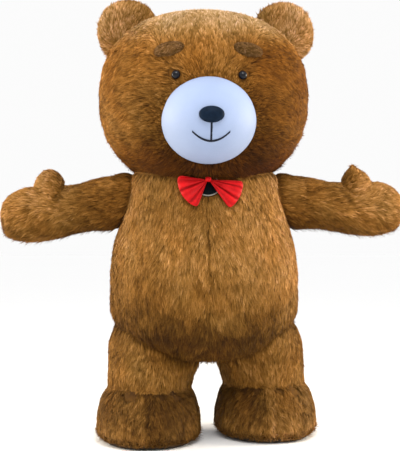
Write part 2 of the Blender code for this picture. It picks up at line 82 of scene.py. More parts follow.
def length(name, description, default):
    return number(name, description, default, min=0.0, unit="LENGTH")


def colour(name, description, default):
    looks = {"size": 3, "min": 0.0, "max": 1.0, "subtype": "COLOR"}
    return FloatVectorProperty(name=name, description=description, default=default, **looks)


class PlushSettings(bpy.types.PropertyGroup):
    """Sizes and colours of the plush."""

    density: number("Locks", "Locks of pile to a square metre", 38000.0, min=0.0)
    lock_length: length("Lock length", "Length of a lock of the body's pile", 0.064)
    lock_width: length("Lock width", "Full width of a lock at its middle", 0.0043)
    root_depth: length("Root depth", "How far the locks' roots lie under the pile's surface", 0.010)
    lift: length("Lift", "How far the locks' tips stand off the pile's surface", 0.0035)
    backing_depth: length("Backing depth", "How far the cloth lies under the pile's surface", 0.008)
    body: colour("Body", "Colour of the suit's pile", (0.325, 0.152, 0.032))
    foot: colour("Foot", "Colour of the feet's pile", (0.195, 0.088, 0.015))
    brow: colour("Brow", "Colour of the brow pads' pile", (0.190, 0.094, 0.027))
    # the cloth is darker than its pile as painted shade under the locks
    backing: number("Backing", "The cloth's lightness as a share of its pile's", 0.55, min=0.0)
    seed: IntProperty(name="Seed", description="Start of the locks' random draws", default=11, min=0)


class FaceSettings(bpy.types.PropertyGroup):
    """Colours of the face."""

    # the muzzle's jersey is white; this blue-grey is painted shade with a painted cast of the blue sky
    muzzle: colour("Muzzle", "Colour of the stretched cloth", (0.300, 0.378, 0.565))
    # the nose's blue is a painted reflection of the sky on the dark vinyl
    nose: colour("Nose", "Colour of the nose", (0.005, 0.012, 0.026))
    thread: colour("Thread", "Colour of the mouth's stitches", (0.010, 0.012, 0.020))
    eye: colour("Eye", "Colour of the eyes", (0.004, 0.004, 0.006))


class TrimSettings(bpy.types.PropertyGroup):
    """Colours and sizes of the trimmings."""

    satin: colour("Satin", "Colour of the bow", (0.520, 0.007, 0.009))
    tape: colour("Tape", "Colour of the tape round the window", (0.300, 0.280, 0.240))
    net: colour("Net", "Colour of the window's net", (0.002, 0.003, 0.004))
    sole: colour("Sole", "Colour of the soles", (0.030, 0.022, 0.016))
    net_pitch: length("Net pitch", "Distance between the net's holes", 0.004524)


class StageSettings(bpy.types.PropertyGroup):
    """Camera, floor and lamps."""

    distance: length("Distance", "From the origin to the camera over the floor", 6.5)
    height: length("Height", "Height of the camera above the soles", 1.25)
    turn: number("Turn", "Camera's turn round the suit", radians(3.8), subtype="ANGLE")
    lens: number("Lens", "Focal length in millimetres", 97.5, unit="CAMERA")
    shift: number("Shift", "Camera's sideways shift", -0.00875)
    key: number("Key", "Watts of the lamp at the front", 190.0, unit="POWER")
    rim: number("Rim", "Watts of each lamp at the sides", 170.0, unit="POWER")
    sky: number("Sky", "Strength of the light overhead", 1.30)
    haze: number("Haze", "Strength of the light low all round", 0.97)
    floor: colour("Floor", "Colour of the floor", (0.84, 0.84, 0.84))


def settings(kind):
    return getattr(bpy.context.scene, "bear_" + kind)


# ================================================================ forms of plush
# A form of plush: its panels, which sides of its box are open, its pile's length and lift as
# shares of the body's, and the material slot.
Form = namedtuple("Form", "key panels open_low open_high length lift slot")
CLOSED = (0, 0, 0)
TRUNK = ("body_front_right", "body_front_left", "body_back_right", "body_back_left")
FOOT = ("foot_inner", "foot_outer")
HEAD = ("head_cheek_right", "head_cheek_left", "head_crown", "head_back_right", "head_back_left")


def side_form(key, side, panels, open_low, open_high, length_share, lift_share, slot="brown_plush"):
    names = tuple(f"{panel}_{side}" for panel in panels)
    return Form(f"{key}_{side}", names, open_low, open_high, length_share, lift_share, slot)


def all_forms():
    forms = [
        Form("trunk", TRUNK, CLOSED, (0, 0, 1), 1.0, 1.0, "brown_plush"),
        Form("head", HEAD, (0, 0, 1), CLOSED, 0.86, 0.9, "brown_plush"),
    ]
    for side, sign in SIDES.items():
        root_low, root_high = ((0, 0, 0), (1, 0, 0)) if sign < 0 else ((1, 0, 0), (0, 0, 0))
        forms += [
            side_form("ear", side, ("ear_front", "ear_back"), CLOSED, CLOSED, 0.60, 0.8),
            side_form("arm", side, ("arm_front", "arm_back"), root_low, root_high, 0.90, 0.9),
            side_form("thumb", side, ("thumb",), (0, 0, 1), CLOSED, 0.72, 0.9),
            side_form("leg", side, ("leg_front", "leg_back"), (0, 0, 1), (0, 0, 1), 0.95, 0.9),
            side_form("foot", side, FOOT, CLOSED, (0, 0, 1), 0.85, 1.0, "foot_plush"),
            side_form("brow", side, ("brow",), CLOSED, (0, 1, 0), 0.34, 0.35),
        ]
    return {form.key: form for form in forms}


FORMS = all_forms()
MUZZLE_LOW, MUZZLE_HIGH = (np.array(corner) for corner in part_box("muzzle"))
MUZZLE_MIDDLE = (MUZZLE_LOW + MUZZLE_HIGH) / 2
MUZZLE_HALF = (MUZZLE_HIGH - MUZZLE_LOW) / 2
EAR_LOW, EAR_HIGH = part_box("ear_front_left")
EAR_MIDDLE = ((EAR_LOW.x + EAR_HIGH.x) / 2, (EAR_LOW.z + EAR_HIGH.z) / 2)
FOOT_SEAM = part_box("foot_outer_left")[0].x
FOOT_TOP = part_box("foot_outer_left")[1].z
THUMB_MIDDLE = (0.908, 0.030)  # across and up
THUMB_TIP = (0.882, -0.06, 0.23)  # where the left thumb's pile comes to a point

# Soft creases: where each starts and ends, its width, and how far it is pressed in, or out where that
# is below zero. Each is mirrored, but for those that start on the left side.
CREASES = {
    "trunk": (
        ((0.0, -0.52, -0.02), (0.0, -0.56, -0.55), 0.012, 0.006),
        ((-0.53, -0.14, -0.67), (-0.53, 0.14, -0.67), 0.060, -0.018),
        ((-0.50, -0.18, 0.06), (-0.28, -0.40, -0.10), 0.030, 0.014),
        ((-0.53, -0.16, -0.16), (-0.36, -0.40, -0.20), 0.026, 0.010),
        ((-0.54, -0.20, -0.62), (-0.20, -0.48, -0.70), 0.034, 0.012),
        ((-0.40, -0.36, -0.80), (-0.10, -0.42, -0.84), 0.030, 0.012),
        ((-0.50, 0.20, 0.05), (-0.24, 0.38, -0.12), 0.032, 0.013),
        ((-0.54, 0.18, -0.60), (-0.16, 0.46, -0.72), 0.034, 0.013),
        ((-0.20, 0.42, -0.30), (-0.02, 0.47, -0.36), 0.028, 0.009),
    ),
    "arm": (
        ((-0.62, -0.16, 0.07), (-0.60, -0.17, -0.14), 0.022, 0.010),
        ((-0.56, -0.16, 0.10), (-0.54, -0.17, -0.08), 0.018, 0.007),
        ((-0.53, -0.06, 0.16), (-0.53, 0.08, 0.16), 0.055, 0.015),
        ((-0.66, -0.06, 0.09), (-0.66, 0.08, 0.09), 0.050, -0.009),
        ((-0.75, -0.15, 0.02), (-0.72, -0.15, -0.16), 0.024, 0.009),
        ((-0.79, -0.10, 0.08), (-0.89, -0.16, -0.04), 0.016, 0.022),
        ((-1.03, -0.09, 0.06), (-0.96, -0.15, -0.08), 0.040, -0.014),
        ((-0.80, 0.11, 0.06), (-0.88, 0.14, -0.03), 0.016, 0.012),
        ((-0.61, 0.13, 0.06), (-0.63, 0.12, -0.14), 0.022, 0.010),
        ((-0.76, 0.12, 0.05), (-0.73, 0.12, -0.15), 0.024, 0.009),
    ),
    "thumb": (
        ((0.828, -0.12, 0.165), (0.828, 0.02, 0.165), 0.036, 0.014),
        ((0.950, -0.13, 0.165), (0.950, 0.02, 0.165), 0.042, 0.020),
    ),
    "leg": (
        ((-0.04, -0.14, -0.92), (-0.04, 0.14, -0.92), 0.075, -0.036),
        ((-0.54, -0.14, -0.72), (-0.54, 0.14, -0.72), 0.060, 0.020),
        ((-0.52, -0.16, -0.96), (-0.20, -0.26, -0.99), 0.024, 0.011),
        ((-0.48, -0.22, -1.04), (-0.24, -0.28, -1.02), 0.020, 0.008),
        ((-0.10, -0.16, -0.90), (-0.26, -0.28, -0.93), 0.022, 0.009),
        ((-0.50, 0.16, -0.95), (-0.18, 0.22, -0.99), 0.024, 0.011),
        ((-0.48, 0.18, -1.04), (-0.22, 0.22, -1.03), 0.020, 0.008),
    ),
    "foot": (
        ((-0.34, -0.42, -1.16), (-0.34, -0.50, -1.36), 0.016, 0.009),
        ((-0.46, -0.36, -1.20), (-0.52, -0.40, -1.32), 0.020, 0.007),
    ),
    "head": (
        ((-0.60, -0.20, 0.34), (-0.40, -0.42, 0.26), 0.030, 0.009),
        ((-0.30, -0.40, 0.94), (-0.12, -0.42, 0.88), 0.034, 0.008),
        ((-0.58, 0.24, 0.30), (-0.34, 0.42, 0.22), 0.032, 0.011),
        ((-0.30, 0.44, 0.20), (-0.02, 0.48, 0.24), 0.028, 0.010),
    ),
}


def pressed_in(points, key):
    """How deep the creases press a form in at points."""
    total = np.zeros(len(points))
    both_sides = (points, points * (-1.0, 1.0, 1.0))
    for start, end, width, depth in CREASES.get(key.split("_")[0], ()):
        run = np.subtract(end, start)
        for places in both_sides[: 1 if start[0] > 0 else 2]:
            share = np.clip((places - start) @ run / (run @ run), 0, 1)
            apart = np.linalg.norm(places - start - share[:, None] * run, axis=1)
            total += depth * bell(apart / width)
    return total


def in_creases(points, key):
    """What is left of the pile's length and lightness at points, which is less in the creases."""
    return 1 - CREASE_SHARE * np.clip(pressed_in(points, key), 0.0, CREASE_FULL)


def outward(points, form):
    """Unit vectors to points of a form from its own middle, which has the form of its inner box."""
    corners = np.array([corner for panel in form.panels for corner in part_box(panel)])
    low, high = corners.min(0), corners.max(0)
    half = (high - low).min() / 2
    inner_low = low + half * (1 - 3 * np.array(form.open_low))
    inner_high = high - half * (1 - 3 * np.array(form.open_high))
    return unit(points - np.clip(points, inner_low, inner_high))


def shown_faces(shape, form):
    """The faces of a mesh that are on the form's outer side."""
    centres = np.array([face.calc_center_median() for face in shape.faces])
    normals = np.array([face.normal for face in shape.faces])
    facing = (outward(centres, form) * normals).sum(1)
    return [face for face, value in zip(shape.faces, facing) if value > SHOWN]


def merged_copy(node):
    """A copy of a CAD node's mesh with its loose triangles joined."""
    shape = bmesh.new()
    shape.from_mesh(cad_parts[node].data)
    bmesh.ops.remove_doubles(shape, verts=shape.verts, dist=MERGE)
    shape.normal_update()
    return shape


def refine(shape, longest):
    """Halves a mesh's long edges until none is over longest, or nearly none."""
    for _ in range(3):
        edges = [edge for edge in shape.edges if edge.calc_length() > longest]
        if not edges:
            break
        bmesh.ops.subdivide_edges(shape, edges=edges, cuts=1)
        bmesh.ops.triangulate(shape, faces=[face for face in shape.faces if len(face.verts) > 3])
    shape.normal_update()


def places_and_normals(corners):
    """The places of a mesh's corners, and the normals at them."""
    return np.array([corner.co for corner in corners]), np.array([corner.normal for corner in corners])


class Skin:
    """The outer side of a form as one creased mesh over all its panels."""

    def __init__(self, form):
        self.form = form
        joined = bmesh.new()
        joined.faces.layers.int.new("panel")
        for index, panel in enumerate(form.panels):
            shape = merged_copy(panel)
            shown = set(shown_faces(shape, form))
            hidden = [face for face in shape.faces if face not in shown]
            bmesh.ops.delete(shape, geom=hidden, context="FACES")
            layer = shape.faces.layers.int.new("panel")
            for face in shape.faces:
                face[layer] = index
            mesh = bpy.data.meshes.new("skin_part")
            shape.to_mesh(mesh)
            shape.free()
            joined.from_mesh(mesh)
            bpy.data.meshes.remove(mesh)
        bmesh.ops.remove_doubles(joined, verts=joined.verts, dist=SEAM_REACH)
        refine(joined, SKIN_EDGE)
        places, _ = places_and_normals(joined.verts)
        for corner, depth in zip(joined.verts, pressed_in(places, form.key)):
            corner.co -= corner.normal * depth
        joined.normal_update()
        joined.verts.index_update()
        layer = joined.faces.layers.int["panel"]
        self.places, self.normals = places_and_normals(joined.verts)
        self.triangles = np.array([[corner.index for corner in face.verts] for face in joined.faces])
        self.panel = np.array([face[layer] for face in joined.faces])
        joined.free()

    def scatter(self, index, density, rng):
        """Random places on one panel, even by area, with their smooth normals."""
        triangles = self.triangles[self.panel == index]
        corners = self.places[triangles]
        sides = corners[:, 1:] - corners[:, :1]
        doubled = np.linalg.norm(np.cross(sides[:, 0], sides[:, 1]), axis=1)
        count = int(density * doubled.sum() / 2)
        chosen = rng.choice(len(triangles), count, p=doubled / doubled.sum())
        first, second = rng.random((2, count))
        over = first + second > 1
        first[over], second[over] = 1 - first[over], 1 - second[over]
        parts = np.stack([1 - first - second, first, second], 1)[:, :, None]
        normals = unit((self.normals[triangles[chosen]] * parts).sum(1))
        return (corners[chosen] * parts).sum(1), normals


def unit(vectors):
    return vectors / np.maximum(np.linalg.norm(vectors, axis=-1, keepdims=True), 1e-9)


def drift(points, wave, seed):
    """Smooth values, mostly from -1 to 1, that wander over points with about that wave length."""
    rng = np.random.default_rng(seed)
    waves = rng.normal(size=(3, 9)) * 2 * pi / (1.7 * wave)
    return np.sin(points @ waves + rng.uniform(0, 2 * pi, 9)).mean(1) * 2.4


def ramp(low, high, values):
    """A smooth rise from 0 at low to 1 at high."""
    share = np.clip((values - low) / (high - low), 0, 1)
    return share * share * (3 - 2 * share)


def bell(values):
    return np.exp(-(values**2))


def blend(first, second, share):
    """Vectors that go from first to second as share goes from 0 to 1."""
    return first * (1 - share)[:, None] + np.multiply(second, share[:, None])


def ways(*parts):
    """Vectors from their parts across, back and up, each a number or one for each point."""
    return np.stack(np.broadcast_arrays(*parts), 1)


# ================================================================ how the pile lies
def side_of(points, soft=0.03):
    return np.tanh(points[:, 0] / soft)


def trunk_nap(points, normals):
    front = np.clip(-normals[:, 1], 0, 1)
    out = side_of(points) * (0.05 + 0.16 * front * np.exp(-(points[:, 0] ** 2) / 0.10))
    return ways(out, 0.0, -1.0)


def head_nap(points, normals):
    x, y, z = (points - MUZZLE_MIDDLE).T
    side = side_of(points, 0.06)
    around = ways(x, 0.0, z) / np.hypot(x, z)[:, None].clip(0.05)
    close = bell((np.hypot(x / MUZZLE_HALF[0], z / MUZZLE_HALF[2]) - 1).clip(0) / 0.35)
    crown = ramp(0.24, 0.40, z) * (1 - ramp(0.20, 0.42, abs(x)))
    way = blend(ways(side, 0.1, -0.38), around + (0, 0, 0.1), close)
    way = blend(way, ways(0.25 * x, 0.35, 1.0), crown)
    way = blend(way, ways(0.45 * side, -0.1, -1.0), ramp(-0.20, -0.34, z))
    return blend(way, (0.0, 0.05, -1.0), ramp(0.45, 0.70, y))


def ear_nap(points, normals):
    heart = np.array((EAR_MIDDLE[0], 0.0, EAR_MIDDLE[1] - 0.12))
    return points - heart * (np.sign(points[0, 0]), 1.0, 1.0)


def arm_nap(points, normals):
    reach, up = np.abs(points[:, 0]) - THUMB_MIDDLE[0], points[:, 2] - THUMB_MIDDLE[1]
    rise = ramp(0.22, 0.10, np.hypot(reach, up)) * ramp(-0.16, -0.04, up)
    return ways(np.sign(points[:, 0]), 0.0, -0.10 + 0.5 * rise - 0.75 * ramp(-0.02, -0.20, up))


def on_thumb_tip(points):
    """How far points lie on the top of the left thumb, where the pile comes to a point."""
    return ramp(0.10, 0.16, points[:, 2]) * (points[:, 0] > 0)


def thumb_nap(points, normals):
    combed = ways(np.sign(points[:, 0]), 0.0, 0.35)
    return blend(combed, 2 * unit(THUMB_TIP - points), on_thumb_tip(points))


def leg_nap(points, normals):
    return ways(0.16 * np.sign(points[:, 0]), -0.06, -1.0)


def foot_nap(points, normals):
    low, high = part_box("sole_left" if points[0, 0] > 0 else "sole_right")
    heart = ((low.x + high.x) / 2, high.y - 0.30, 0.0)
    return unit((points - heart) * (1.0, 1.0, 0.0)) + (0.0, 0.0, -0.85)


def brow_nap(points, normals):
    return ways(0.9 * np.sign(points[:, 0]), 0.0, -0.45)


NAPS = {
    "trunk": trunk_nap, "head": head_nap, "ear": ear_nap, "arm": arm_nap,
    "thumb": thumb_nap, "leg": leg_nap, "foot": foot_nap, "brow": brow_nap,
}


# How much shorter a form is taken to be along its pile, so that what wanders over it lies in streaks.
STREAKS = {
    "arm": (0.19, 1, 1), "thumb": (0.19, 1, 1), "brow": (0.5, 1, 1),
    "head": (0.6, 1, 0.8), "ear": (1, 1, 0.6),
}


def streaked(points, key):
    return points * STREAKS.get(key, (1, 1, 0.19))


RICHNESS = (1.0, 1.13, 1.88)  # how fast red, green and blue fall as the pile darkens
DARKEST = 0.02  # the least light factor


def tone_and_painted_light(points, normals, key):
    """How light the pile is at points, as red, green and blue factors."""
    x, y, z = points.T
    wide = np.abs(x)
    light = 1 + 0.09 * drift(points, 0.30, 71) + 0.07 * drift(points, 0.08, 72)
    light += 0.06 * drift(streaked(points, key), 0.03, 77)
    warm = 0.04 * drift(points, 0.22, 73)
    if key == "head":
        front = ramp(0.1, -0.2, y)
        # painted shade round the muzzle's edge, deeper below it
        rim = np.hypot(x / MUZZLE_HALF[0], (z - MUZZLE_MIDDLE[2]) / MUZZLE_HALF[2])
        shade_round_muzzle = ramp(2.2, 1.2, rim) * ramp(0.72, 0.45, z) * front
        # painted shade on the cheeks beside the muzzle
        shaded_cheeks = ramp(0.88, 0.78, z) * ramp(0.14, 0.26, wide) * front
        # painted shade on the bear's left side of the face, which also makes it redder
        shaded_left_face = ramp(0.10, 0.34, x) * ramp(0.98, 0.80, z)
        # painted light on the crown from overhead, and painted shade on the chin and low on the face
        crown = ramp(0.74, 1.02, z) * ramp(0.50, 0.10, y)
        light *= 0.89 + 0.36 * crown - 0.52 * ramp(0.42, 0.12, z)
        light *= 1 - shade_round_muzzle * (0.20 + 0.22 * ramp(0.42, 0.26, z))
        light *= (1 - 0.30 * shaded_left_face) * (1 - 0.16 * shaded_cheeks)
        light *= 1 + 0.16 * drift(points, 0.05, 74) * ramp(0.25, 0.45, wide)
        # redder with the painted shade on the bear's left side of the face and on the chin, and a little
        # redder higher up
        warm += 0.05 + 0.08 * shaded_left_face + 0.05 * ramp(0.5, 0.7, z) + 0.16 * ramp(0.36, 0.14, z)
        # painted sheen: the crown paler where the light from overhead falls
        warm -= 0.32 * ramp(0.82, 1.04, z) * ramp(0.30, 0.05, y)
    elif key == "trunk":
        waved = z + 0.03 * drift(points, 0.25, 78)
        # painted shadow of the head on the bear's right chest, and painted light on its left chest
        shaded_right_chest = ramp(-0.26, -0.06, z) * ramp(0.14, -0.06, x) * ramp(-0.42, -0.30, x)
        lit_left_chest = ramp(0.04, 0.16, x) * ramp(-0.3, -0.1, z)
        # painted shade along the centre-front seam's groove
        seam = bell(x / 0.008) * ramp(-0.12, -0.20, z) * ramp(-0.54, -0.44, z)
        # painted shade under the belly, darkest low down
        light *= 0.92 - 0.20 * ramp(-0.40, -0.54, waved) - 0.44 * ramp(-0.64, -0.81, waved)
        light *= (1 - 0.26 * shaded_right_chest) * (1 - 0.50 * seam)
        # painted light on the sides and on the left chest
        light *= 1 + 0.24 * ramp(0.30, 0.46, wide) + 0.10 * lit_left_chest
        # painted shade of two folds low on the belly
        light *= 1 - 0.36 * bell((x + 0.38) / 0.06) * bell((z + 0.63) / 0.07)
        light *= 1 - 0.32 * bell((x - 0.38) / 0.05) * bell((z + 0.71) / 0.09)
        # painted light low on the bear's left side, and painted shade on its right side
        light *= 1 + 0.20 * ramp(0.22, 0.46, x) * ramp(-0.64, -0.50, z)
        light *= 1 - 0.22 * ramp(-0.20, -0.42, x) * ramp(-0.28, -0.40, z)
        light *= 1 + 0.26 * drift(points * (1, 1, 0.3), 0.04, 75) * ramp(-0.50, -0.80, z)
    elif key == "ear":
        # painted shade on the ear's front near the head; the whole ear lighter and paler as painted
        # light
        inner = ramp(EAR_MIDDLE[0], EAR_MIDDLE[0] - 0.12, wide) * ramp(0.0, -0.5, normals[:, 1])
        light *= 1.36 - 0.38 * inner
        warm -= 0.07
    elif key in ("arm", "thumb"):
        # painted light towards the paws and on the top by the body, painted shade underneath and low by
        # the body; redder by the body
        by_body = ramp(0.80, 0.56, wide)
        light *= 0.61 + 0.51 * ramp(0.66, 0.98, wide) + 0.16 * by_body * ramp(-0.02, 0.10, z)
        light *= 1.06 - 0.54 * ramp(-0.06, -0.23, z) + 0.13 * drift(points, 0.06, 79)
        light *= 1 - 0.20 * ramp(0.62, 0.52, wide) * ramp(-0.06, -0.18, z)
        warm += 0.02 + 0.03 * by_body
    elif key == "leg":
        # painted shade: a fold across the leg, low down, on the bear's right leg, and high between the
        # legs
        light *= 0.77 - 0.16 * bell((z + 0.93) / 0.05) - 0.10 * ramp(-1.06, -1.16, z)
        light *= 1 - 0.10 * ramp(0.1, -0.1, x)
        light *= 1 - 0.42 * ramp(0.32, 0.14, wide) * ramp(-1.02, -0.92, z)
    elif key == "foot":
        # painted highlight along the seam; painted shade on the inner halves and all over the bear's
        # right foot; lighter low down; painted shadow under the leg's pile at the top
        seam = bell((wide - FOOT_SEAM) / 0.016) * ramp(0.0, -0.5, normals[:, 1])
        inner = ramp(FOOT_SEAM + 0.01, FOOT_SEAM - 0.05, wide)
        on_left = ramp(-0.1, 0.1, x)
        light *= 1 + 0.30 * seam
        light *= 1.14 - inner * (0.26 + 0.22 * on_left) - 0.36 * (1 - on_left)
        light *= 0.96 + 0.30 * ramp(FOOT_TOP - 0.14, FOOT_TOP - 0.26, z)
        light *= 1 + 0.22 * drift(points, 0.045, 76) - 0.35 * ramp(FOOT_TOP - 0.05, FOOT_TOP, z)
    # painted shade in the creases
    light *= in_creases(points, key)
    return np.stack([light, light * (1 - warm), light * (1 - 2 * warm)], 1)


def deepened(factors):
    """Light factors by which dark pile is richer in colour and light pile is paler."""
    return np.maximum(factors, DARKEST) ** np.array(RICHNESS)


def on_chin(points):
    """How far points lie on the front of the chin, where the pile hangs free over the bow."""
    x, y, z = points.T
    return ramp(0.30, 0.20, np.abs(x)) * ramp(0.26, 0.19, z) * ramp(-0.10, -0.25, y)


HANGS_FREE = {"head": on_chin, "thumb": on_thumb_tip}


def pile_share(points, key):
    """The pile's length at points as a share of its form's."""
    share = 1 + 0.14 * drift(points, 0.16, 81)
    x, _, z = points.T
    if key == "head":
        across, up = x / MUZZLE_HALF[0], (z - MUZZLE_MIDDLE[2]) / MUZZLE_HALF[2]
        share *= 0.42 + 0.58 * ramp(1.0, 1.45, np.hypot(across, up))
        share *= (1 - 0.30 * ramp(0.70, 0.84, z)) * (1 + 0.5 * on_chin(points))
    elif key == "arm":
        share *= 1 + 0.35 * ramp(-0.12, -0.22, z)
    elif key == "thumb":
        share *= 1 + 0.25 * on_thumb_tip(points)
    elif key == "trunk":
        share *= 1 + 0.20 * ramp(-0.35, -0.80, z) - 0.80 * ramp(-0.86, -0.94, z)
    return share * in_creases(points, key)


# What no lock may lie over on a form, and by what margin.
BARE = {"trunk": {"window_binding": 0.002}, "head": {"eye_right": 0.004, "eye_left": 0.004}}


def kept_off(points, key):
    """Whether points of a form's front lie over the eyes or the window."""
    off = np.zeros(len(points), bool)
    for node, margin in BARE.get(key, {}).items():
        low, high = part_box(node)
        middle, half = (low + high) / 2, (high - low) / 2
        across = (points[:, 0] - middle.x) / (half.x + margin)
        up = (points[:, 2] - middle.z) / (half.z + margin)
        off |= (across**2 + up**2 < 1) & (points[:, 1] < 0)
    return off


# ================================================================ locks
# A lock is a leaf of two triangles, with corners at its root, either side of its middle and its tip.
LOCK_CORNERS = 4
LOCK_LOOPS = np.array((0, 2, 1, 1, 2, 3))
LOCK_FACES = np.array((0, 3))
LOCK_ACROSS = np.array((0.5, 0.0, 1.0, 0.5))
LOCK_ALONG = np.array((0.0, 0.45, 0.45, 1.0))
LEADERS = 0.13  # share of the locks that others cling to
STRAYS = 0.09  # share of the locks that stand off more
STRAY_LIFT = 2.4  # how many times as far
BROW_DENSITY = 2.2  # how many times as dense the brow pads' pile is
SEED_STEP = 101  # from one form's random draws to the next
LENGTHS = (0.72, 1.15)  # how locks differ from the form's length
WIDTHS = (0.7, 1.25)  # how they differ from its width
CLING = (0.05, 0.45)  # how much of the way a lock's tip is drawn to its leader's
STRAND_ROWS = 4000  # rows of the streaks' texture that locks are put on
OFF_FLOOR = 0.0005  # no lock comes nearer to the floor
SWAYS = ((0.34, 0.17, 61), (0.20, 0.06, 62))  # how far the pile sways, over what length, and a seed
SWAY_SHARE = {"trunk": 0.5, "leg": 0.7, "arm": 0.7, "thumb": 0.6}  # how much of this a form has
LOOSE = 0.11  # how far single locks turn from the pile's way
CURL = 0.06  # how far a lock's middle is off its line, as a share of its length
ROLL = 0.45  # how far locks roll about their own length
UNDER_LIFT = 2.0  # how many times more the pile stands off the suit's undersides
MIDDLE_LIFT = 0.3  # how far a lock's middle stands off, as a share of the pile's lift
TIP_LIFT = (0.0, 1.7)  # how far its tip does
BRIDGING = 0.45  # how much of a hollow's depth locks pass over, where none hangs free
BRIDGED = 0.05  # no more than in a hollow of this depth
LOCK_TONE = 0.19  # how locks differ in lightness
CLUMP_TONE = 0.20  # how clumps of them do
CLUMP_TONES = (0.72, 1.5)  # no darker and no lighter than these
LOCK_ROUND = radians(38)  # how far the normals at a lock's edges turn out
ROOT_SHADE_TIP_LIGHT = np.array((0.38, 0.90, 0.90, 1.32))  # painted shade at the roots, deep in the pile, and lighter tips


def nearest_on(tree, points):
    """The places and normals of a tree's surface nearest to points."""
    found = [tree.find_nearest(point)[:2] for point in points.tolist()]
    return np.array([place for place, _ in found]), np.array([normal for _, normal in found])


def clumped(roots, tips, kind, rng):
    """The tips drawn towards the nearest chosen lock's, that lock, and how far from it each one is."""
    chosen = rng.choice(len(roots), max(int(len(roots) * LEADERS), 1), replace=False)
    tree = KDTree(len(chosen))
    places = streaked(roots, kind)
    for index in chosen:
        tree.insert(places[index], int(index))
    tree.balance()
    found = [tree.find(place)[1:] for place in places.tolist()]
    leader = np.array([index for index, _ in found])
    apart = np.array([distance for _, distance in found])
    pull = rng.uniform(*CLING, len(roots))[:, None]
    return tips + (tips[leader] - tips) * pull, leader, apart / np.median(apart)


def make_locks(form, roots, normals, tree, rng):
    """Each lock's corners, the normals at them and its own lightness."""
    plush = settings("plush")
    kind = form.key.split("_")[0]
    count = len(roots)
    way = unit(NAPS[kind](roots, normals))
    way = unit(way - (way * normals).sum(1)[:, None] * normals)
    across = np.cross(way, normals)
    turn = sum(far * drift(roots, wave, seed) for far, wave, seed in SWAYS)
    turn = SWAY_SHARE.get(kind, 1.0) * turn + rng.normal(0, LOOSE, count)
    way = way * np.cos(turn)[:, None] + across * np.sin(turn)[:, None]
    reach = plush.lock_length * form.length * pile_share(roots, kind) * rng.uniform(*LENGTHS, count)
    tips, leader, apart = clumped(roots, roots + way * reach[:, None], kind, rng)
    curl = np.cross(way, normals) * (reach * rng.normal(0, CURL, count))[:, None]
    middles = (roots + tips) / 2 + curl
    stray = np.where(rng.random(count) < STRAYS, STRAY_LIFT, 1.0)
    lift = plush.lift * form.lift * (1 + UNDER_LIFT * np.clip(-normals[:, 2], 0, 1)) * stray
    free = HANGS_FREE[kind](roots) if kind in HANGS_FREE else 0.0
    free = BRIDGING + (1 - BRIDGING) * free
    points = [roots - normals * plush.root_depth]
    outwards = [normals]
    heights = (MIDDLE_LIFT * lift, lift * rng.uniform(*TIP_LIFT, count))
    for guess, height in zip((middles, tips), heights):
        place, facing = nearest_on(tree, guess)
        gap = ((guess - place) * facing).sum(1)
        rise = height + free * np.clip(gap, 0, BRIDGED)
        points.append(guess + facing * (rise - gap)[:, None])
        outwards.append(unit(facing + normals))
    roll = rng.normal(0, ROLL, count)[:, None]
    width = plush.lock_width / 2 * rng.uniform(*WIDTHS, count)[:, None] * sqrt(form.length)
    along = unit(points[2] - points[0])
    side = unit(np.cross(along, outwards[1]))
    up = np.cross(side, along)
    rolled = side * np.cos(roll) + up * np.sin(roll)
    face = up * np.cos(roll) - side * np.sin(roll)
    corners = np.stack([points[0], points[1] - rolled * width, points[1] + rolled * width, points[2]], 1)
    turned = rolled * sin(LOCK_ROUND)
    facings = np.stack([face, face * cos(LOCK_ROUND) - turned, face * cos(LOCK_ROUND) + turned, face], 1)
    shade = rng.normal(1, LOCK_TONE, count)
    shade *= np.clip(rng.normal(1, CLUMP_TONE, count), *CLUMP_TONES)[leader]
    # painted shade between the clumps: locks further from their leader are darker
    shade *= 1.15 - 0.17 * np.minimum(apart, 2.2)
    off = np.any([kept_off(point, kind) for point in points], axis=0)
    keep = ~off & (corners[:, :, 2].min(1) > FLOOR + OFF_FLOOR)
    return corners[keep], facings[keep], shade[keep]


def lock_cells(count):
    """Where each lock lies in the bake's map: a cell of its own, in rows."""
    columns = int(sqrt(count / 4)) * 4 or 1
    rows = -(-count // columns)
    cell = np.arange(count)
    low = np.stack([cell % columns / columns, cell // columns / rows], 1)[:, None]
    inset = np.stack([0.1 + 0.8 * LOCK_ACROSS, 0.1 + 0.8 * LOCK_ALONG], 1)[None]
    return low + inset / (columns, rows)


def write_uv(mesh, name, corners):
    layer = mesh.uv_layers.new(name=name)
    layer.data.foreach_set("uv", corners[:, LOCK_LOOPS].astype(np.float32).ravel())


def write_colours(mesh, name, rgb):
    """Keeps a colour at each of a mesh's points."""
    full = np.ones((len(mesh.vertices), 4), np.float32)
    full[:, :3] = np.clip(rgb, 0, 1).reshape(-1, 3)
    mesh.color_attributes.new(name, "FLOAT_COLOR", "POINT").data.foreach_set("color", full.ravel())


